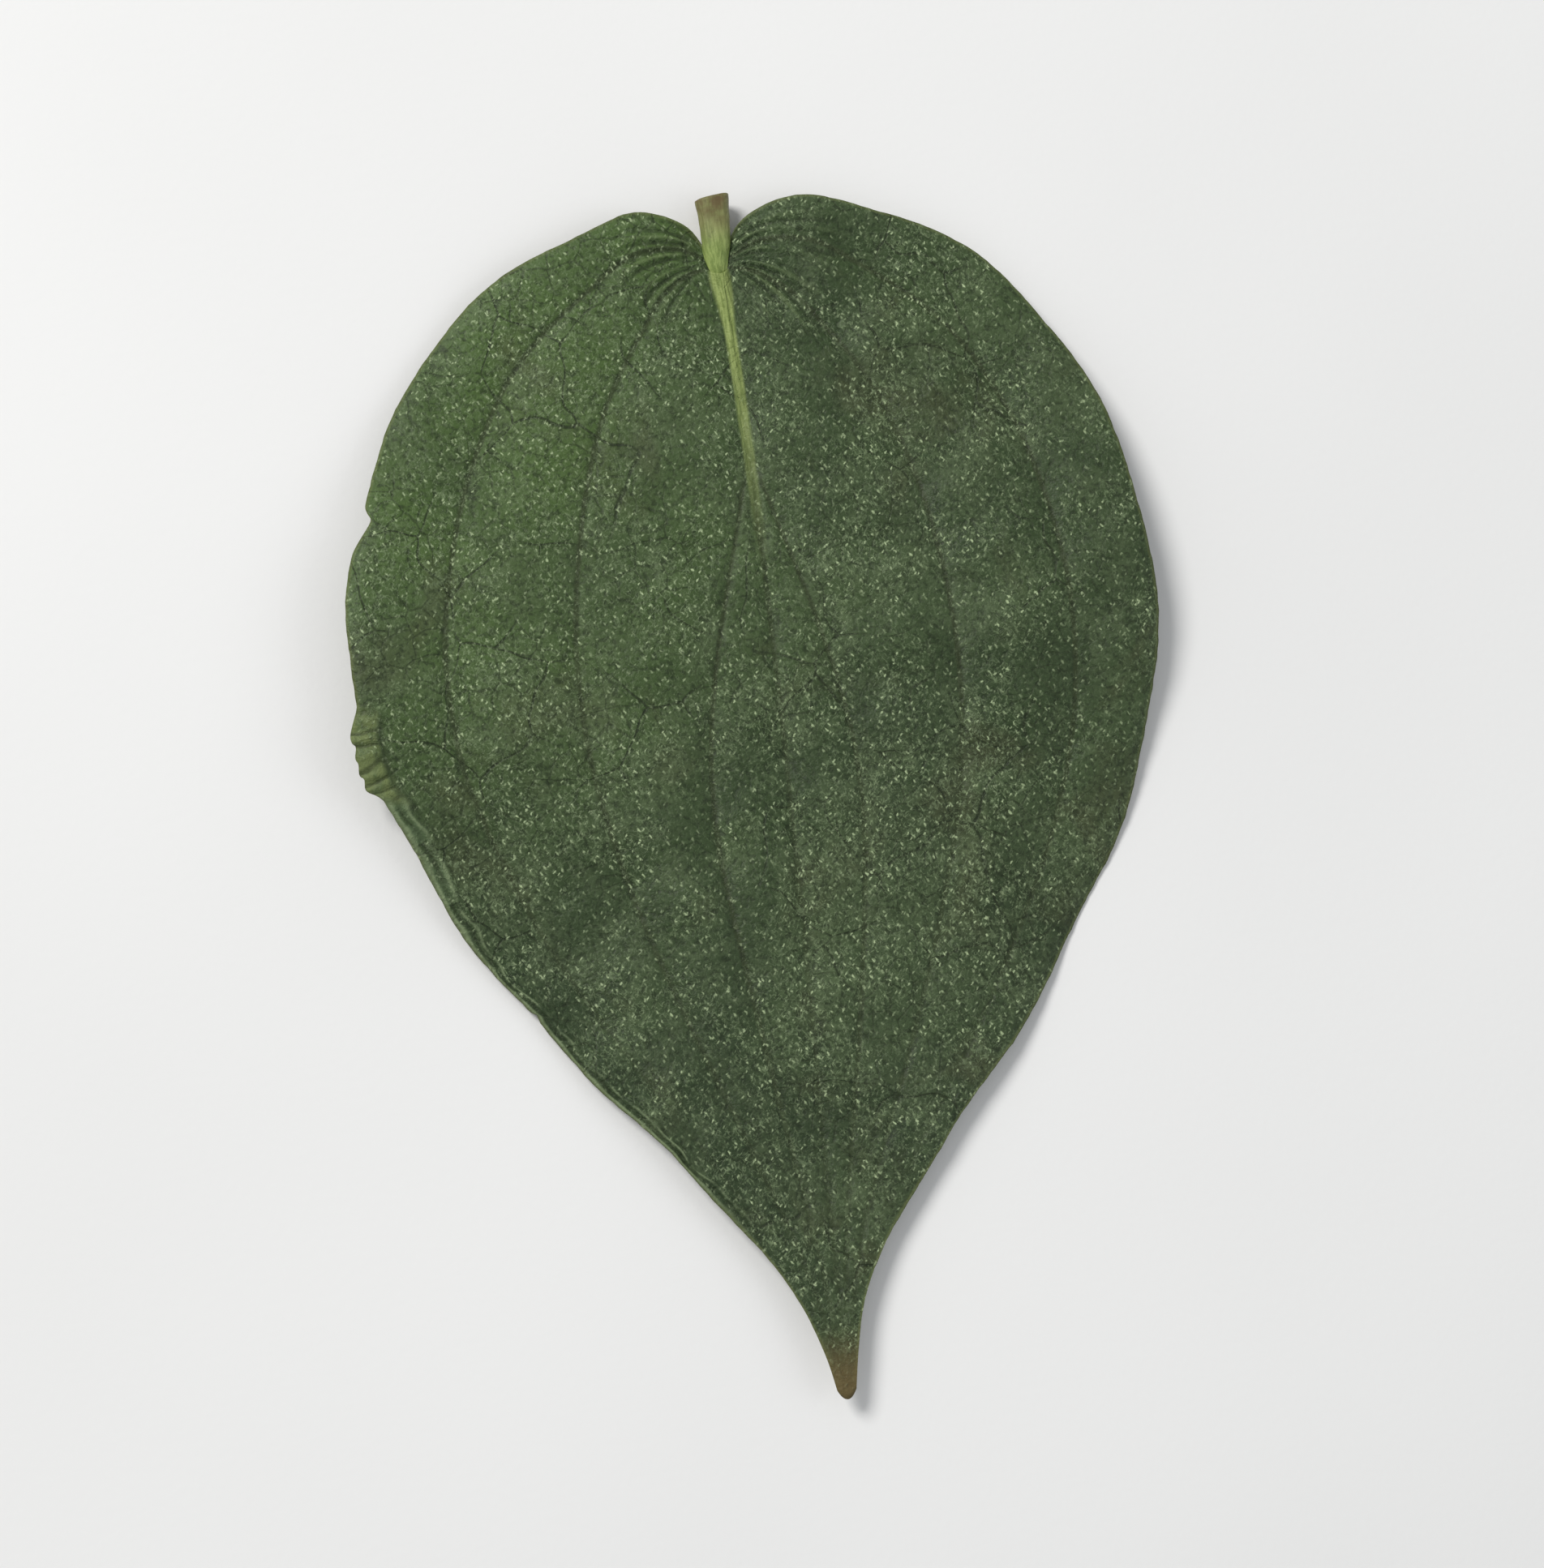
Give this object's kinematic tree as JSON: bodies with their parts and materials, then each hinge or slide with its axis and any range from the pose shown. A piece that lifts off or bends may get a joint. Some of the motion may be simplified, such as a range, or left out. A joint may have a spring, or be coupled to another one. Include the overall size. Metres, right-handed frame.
{
  "type": "betel leaf",
  "caption": "Dried heart-shaped betel leaf with a short drip tip, arching veins raised underneath and a trimmed stalk stub.",
  "frame": {"origin": "middle of the leaf's box, on the surface that the leaf lies on", "axes": "+Y towards the stalk and -Y towards the tip, +Z out of the upper face, -X on the half with the nick in its margin"},
  "size_m": [0.0476, 0.0704, 0.0034],
  "materials": {
    "dried_leaf": "satin"
  },
  "bodies": {
    "root": {"betel_leaf": "dried_leaf"}
  },
  "joints": []
}
